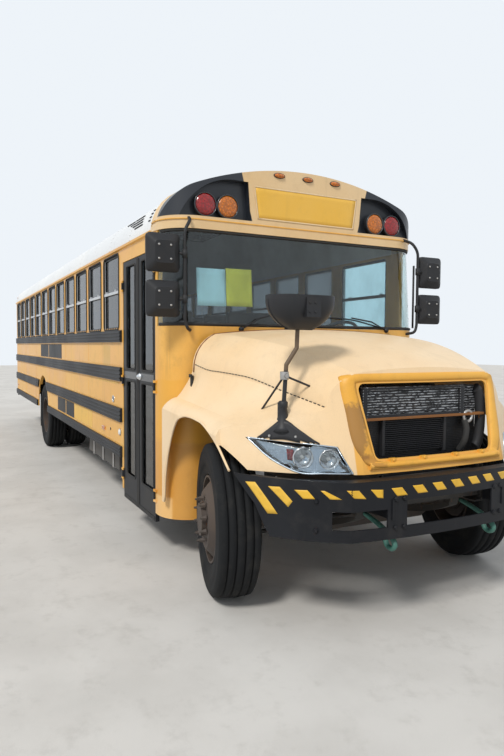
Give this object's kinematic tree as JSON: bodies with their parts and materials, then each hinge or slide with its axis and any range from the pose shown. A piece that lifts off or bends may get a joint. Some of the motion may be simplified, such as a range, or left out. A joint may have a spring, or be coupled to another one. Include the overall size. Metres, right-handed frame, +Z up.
{
  "type": "school bus",
  "caption": "School bus with a tilting hood, folding entrance door, rear emergency door, roof hatches, folding stop arm and steered front wheels.",
  "frame": {"origin": "on the ground under the centre of the bounding box", "axes": "+X forward along the bus, +Y to its left, +Z up"},
  "size_m": [11.86, 2.8, 3.1189],
  "materials": {
    "body_yellow": "satin",
    "roof_white": "satin",
    "hood_faded": "satin",
    "black_paint": "satin",
    "frame_black": "matte",
    "floor_grey": "matte",
    "sash_metal": "satin",
    "tinted_glass": "gloss",
    "clear_glass": "gloss",
    "tyre_rubber": "matte",
    "rim_steel": "matte",
    "axle_steel": "matte",
    "engine_iron": "matte",
    "core_metal": "matte",
    "lens": "gloss",
    "lamp_unit": "gloss",
    "amber_lens": "gloss",
    "mirror_black": "satin",
    "seat_cover": "satin",
    "grey_plastic": "matte",
    "stop_red": "satin",
    "tank_steel": "satin"
  },
  "bodies": {
    "bus_body": {"side_wall_right": "body_yellow", "side_wall_left": "body_yellow", "roof": "roof_white", "front_header": "body_yellow", "front_cowl": "body_yellow", "windshield": "tinted_glass", "rear_wall": "body_yellow", "body_floor": "floor_grey", "step_well": "floor_grey", "rub_rails": "black_paint", "window_sashes": "black_paint", "window_glass": "clear_glass", "hatch_kerbs": "grey_plastic", "chassis_frame": "frame_black", "front_bumper": "black_paint", "rear_bumper": "black_paint", "front_axle": "axle_steel", "rear_axle": "axle_steel", "leaf_springs": "axle_steel", "radiator": "core_metal", "engine_block": "engine_iron", "warning_lamps": "lens", "marker_lamps": "amber_lens", "tail_lamps": "lens", "side_mirrors": "mirror_black", "bench_seats": "seat_cover", "seat_frames": "frame_black", "driver_seat": "seat_cover", "dashboard": "grey_plastic", "steering_wheel": "grey_plastic", "stop_arm_bracket": "black_paint", "fuel_tank": "tank_steel", "exhaust": "tank_steel"},
    "entrance_door_front": {"door_front_leaf": "black_paint", "door_front_glass": "clear_glass"},
    "entrance_door_rear": {"door_rear_leaf": "black_paint", "door_rear_glass": "clear_glass"},
    "emergency_door": {"rear_door": "body_yellow", "rear_door_glass": "clear_glass"},
    "hatch_front": {"roof_hatch_front": "roof_white"},
    "hatch_rear": {"roof_hatch_rear": "roof_white"},
    "hood_assembly": {"hood": "hood_faded", "headlights": "lamp_unit", "hood_mirror": "mirror_black"},
    "stop_sign": {"stop_arm": "stop_red"},
    "steering_link": {"tie_rod": "axle_steel"},
    "steering_knuckle_left": {"knuckle_left": "axle_steel"},
    "wheel_front_left": {"tyre_front_left": "tyre_rubber", "rim_front_left": "rim_steel"},
    "wheel_rear_left": {"tyre_rear_left": "tyre_rubber", "rim_rear_left": "rim_steel"},
    "steering_knuckle_right": {"knuckle_right": "axle_steel"},
    "wheel_front_right": {"tyre_front_right": "tyre_rubber", "rim_front_right": "rim_steel"},
    "wheel_rear_right": {"tyre_rear_right": "tyre_rubber", "rim_rear_right": "rim_steel"}
  },
  "joints": [
    {"name": "entrance_front_leaf", "type": "hinge", "parent": "bus_body", "child": "entrance_door_front", "pos_m": [3.972, -1.227, 1.345], "axis": [0, 0, 1], "range_deg": [0, 90]},
    {"name": "entrance_rear_leaf", "type": "hinge", "parent": "bus_body", "child": "entrance_door_rear", "pos_m": [3.036, -1.227, 1.345], "axis": [0, 0, 1], "range_deg": [-90, 0]},
    {"name": "emergency_door_hinge", "type": "hinge", "parent": "bus_body", "child": "emergency_door", "pos_m": [-5.816, -0.454, 1.743], "axis": [0, 0, 1], "range_deg": [0, 110]},
    {"name": "front_hatch_hinge", "type": "hinge", "parent": "bus_body", "child": "hatch_front", "pos_m": [1.862, 0, 3.08835], "axis": [0, 1, 0], "range_deg": [0, 60]},
    {"name": "rear_hatch_hinge", "type": "hinge", "parent": "bus_body", "child": "hatch_rear", "pos_m": [-3.238, 0, 3.08835], "axis": [0, 1, 0], "range_deg": [0, 60]},
    {"name": "hood_tilt", "type": "hinge", "parent": "bus_body", "child": "hood_assembly", "pos_m": [5.76, 0, 0.948], "axis": [0, 1, 0], "range_deg": [0, 60]},
    {"name": "stop_arm_swing", "type": "hinge", "parent": "bus_body", "child": "stop_sign", "pos_m": [2.828, 1.265, 1.58], "axis": [0, 0, 1], "range_deg": [-90, 0]},
    {"name": "steer_left", "type": "hinge", "parent": "bus_body", "child": "steering_knuckle_left", "pos_m": [4.945, 0.86, 0.512], "axis": [0, 0, 1], "range_deg": [-26.4, 53.6]},
    {"name": "steer_right", "type": "hinge", "parent": "bus_body", "child": "steering_knuckle_right", "pos_m": [4.945, -0.86, 0.512], "axis": [0, 0, 1], "range_deg": [-26.4, 53.6]},
    {"name": "tie_rod_eye", "type": "hinge", "parent": "steering_knuckle_right", "child": "steering_link", "pos_m": [4.77977, -0.82003, 0.34], "axis": [0, 0, 1], "range_deg": [-53.6, 26.4]},
    {"name": "spin_front_left", "type": "hinge", "parent": "steering_knuckle_left", "child": "wheel_front_left", "pos_m": [4.98544, 1.02718, 0.512], "axis": [0.2351, 0.972, 0], "continuous": true},
    {"name": "spin_rear_left", "type": "hinge", "parent": "bus_body", "child": "wheel_rear_left", "pos_m": [-1.955, 0.892, 0.512], "axis": [0, 1, 0], "continuous": true},
    {"name": "spin_front_right", "type": "hinge", "parent": "steering_knuckle_right", "child": "wheel_front_right", "pos_m": [4.90456, -1.02718, 0.512], "axis": [0.2351, 0.972, 0], "continuous": true},
    {"name": "spin_rear_right", "type": "hinge", "parent": "bus_body", "child": "wheel_rear_right", "pos_m": [-1.955, -0.892, 0.512], "axis": [0, 1, 0], "continuous": true}
  ],
  "couplings": [
    {"joint": "entrance_rear_leaf", "follows": "entrance_front_leaf", "ratio": -1},
    {"joint": "steer_left", "follows": "steer_right", "ratio": 1},
    {"joint": "tie_rod_eye", "follows": "steer_right", "ratio": -1}
  ]
}
